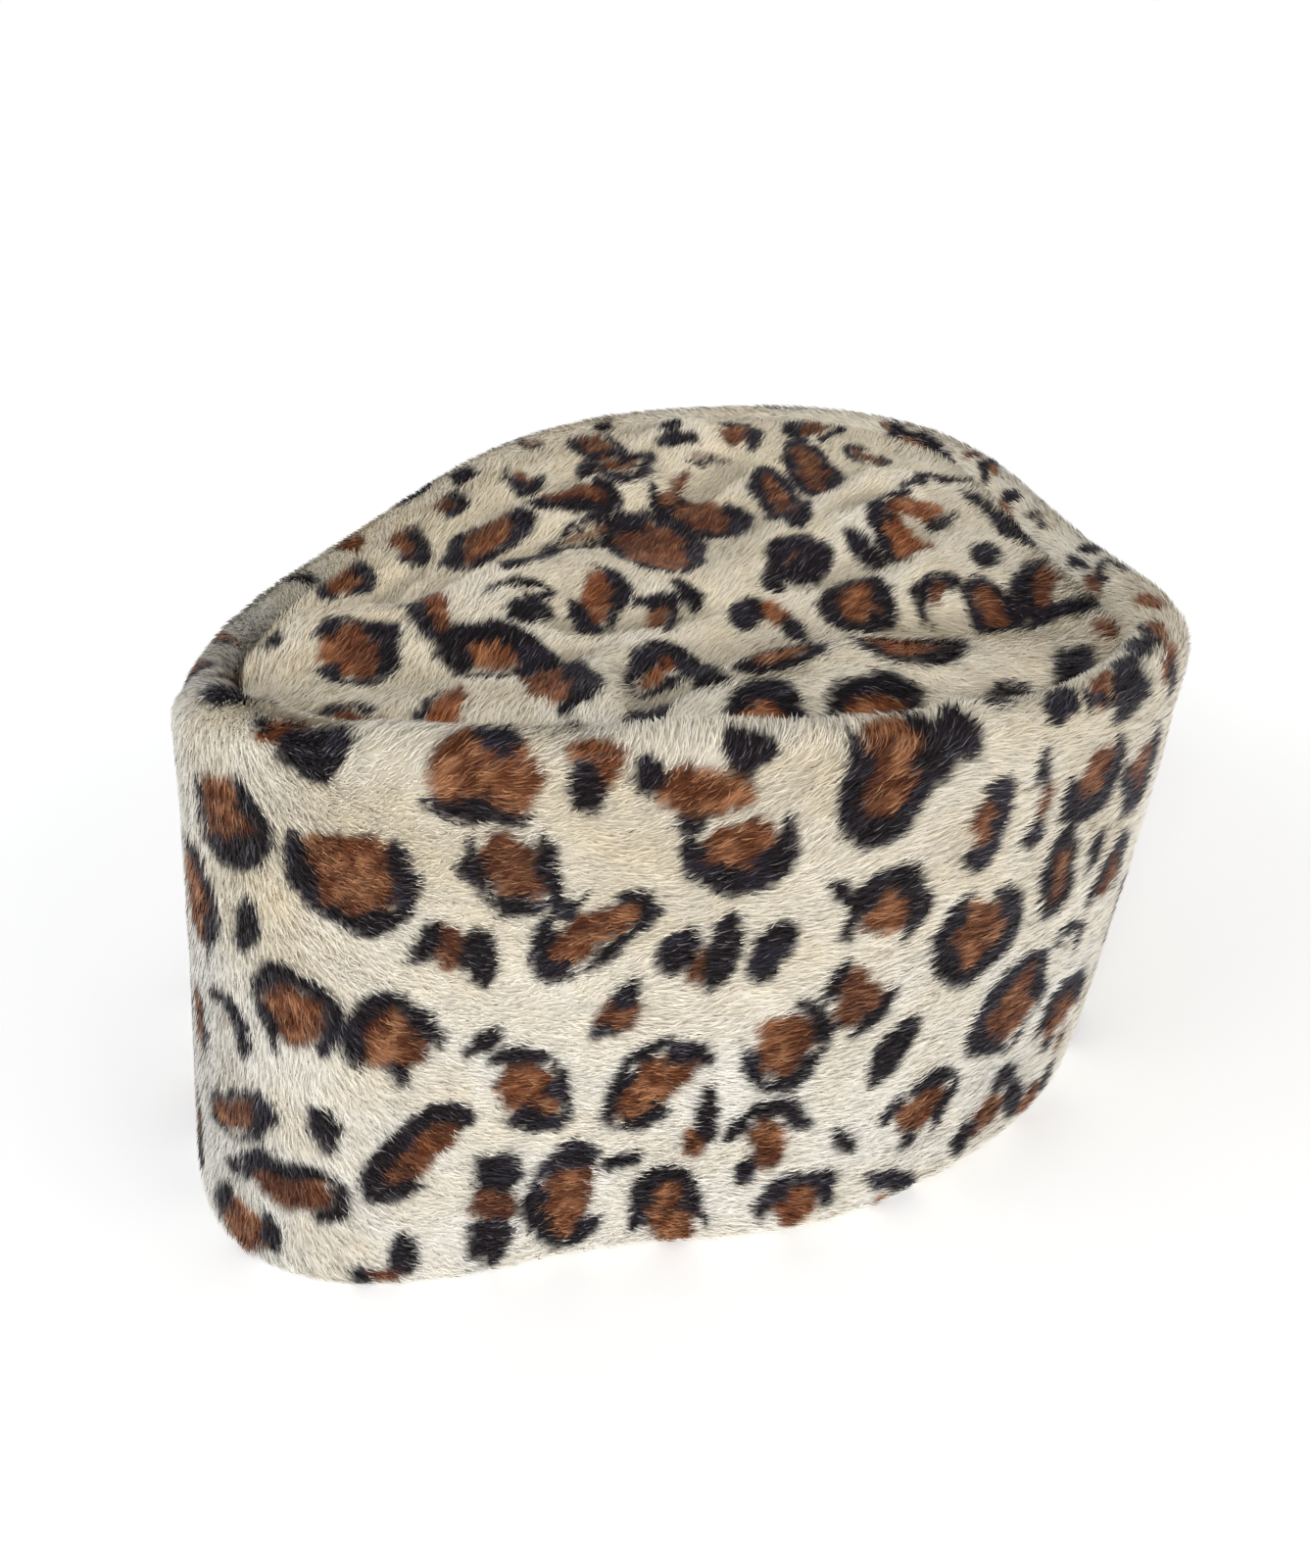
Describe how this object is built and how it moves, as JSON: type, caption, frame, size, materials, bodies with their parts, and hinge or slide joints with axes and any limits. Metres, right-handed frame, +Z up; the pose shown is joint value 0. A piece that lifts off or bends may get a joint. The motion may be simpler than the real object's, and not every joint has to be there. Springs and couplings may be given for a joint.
{
  "type": "kufi cap",
  "caption": "Soft round brimless cap: a straight side band with a rolled top ridge and a sunken, folded crown, in short-pile spotted fur cloth.",
  "frame": {"origin": "centre of the footprint, on the surface the rim stands on", "axes": "+Z up through the crown, +X along the longer way across the cap"},
  "size_m": [0.2266, 0.1958, 0.1101],
  "materials": {
    "band_pile": "short silky faux-fur pile, cream with dark-ringed brown spots",
    "crown_pile": "short silky faux-fur pile, cream with dark-ringed brown spots"
  },
  "bodies": {
    "root": {"band": "band_pile", "crown": "crown_pile"}
  },
  "joints": []
}
